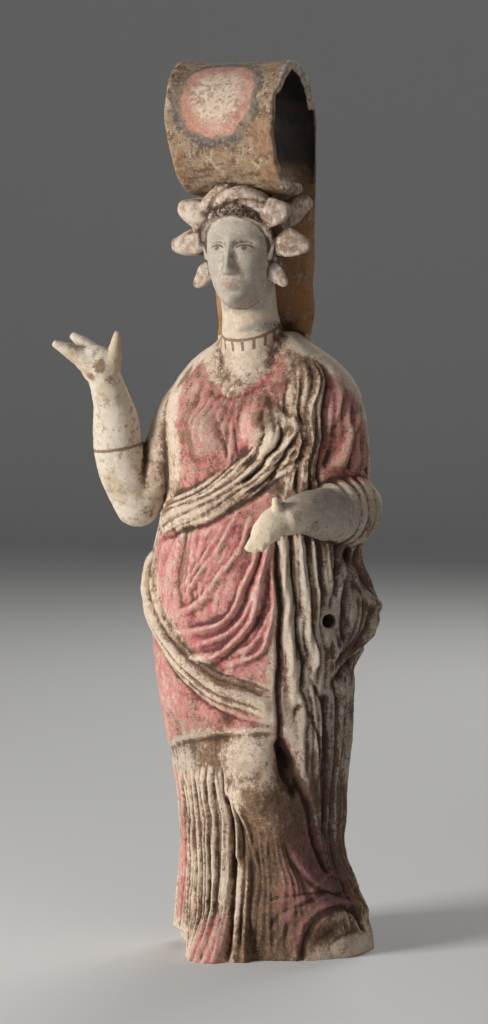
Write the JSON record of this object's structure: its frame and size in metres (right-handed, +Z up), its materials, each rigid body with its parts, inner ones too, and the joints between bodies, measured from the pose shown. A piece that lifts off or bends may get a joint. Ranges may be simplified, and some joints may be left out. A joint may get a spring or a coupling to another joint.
{
  "type": "terracotta figurine",
  "caption": "Standing draped woman in painted fired clay, right hand raised, left held forward, with a broad strap handle curling over her head.",
  "frame": {"origin": "on the ground under the middle of the body, in the flat underside", "axes": "+Z up along her height, her front faces -Y, her left side is +X"},
  "size_m": [0.1783, 0.1098, 0.5],
  "materials": {
    "painted_terracotta": "matt fired clay under worn white slip, with pink paint and brown earth stains"
  },
  "bodies": {
    "root": {"figurine": "painted_terracotta"}
  },
  "joints": []
}
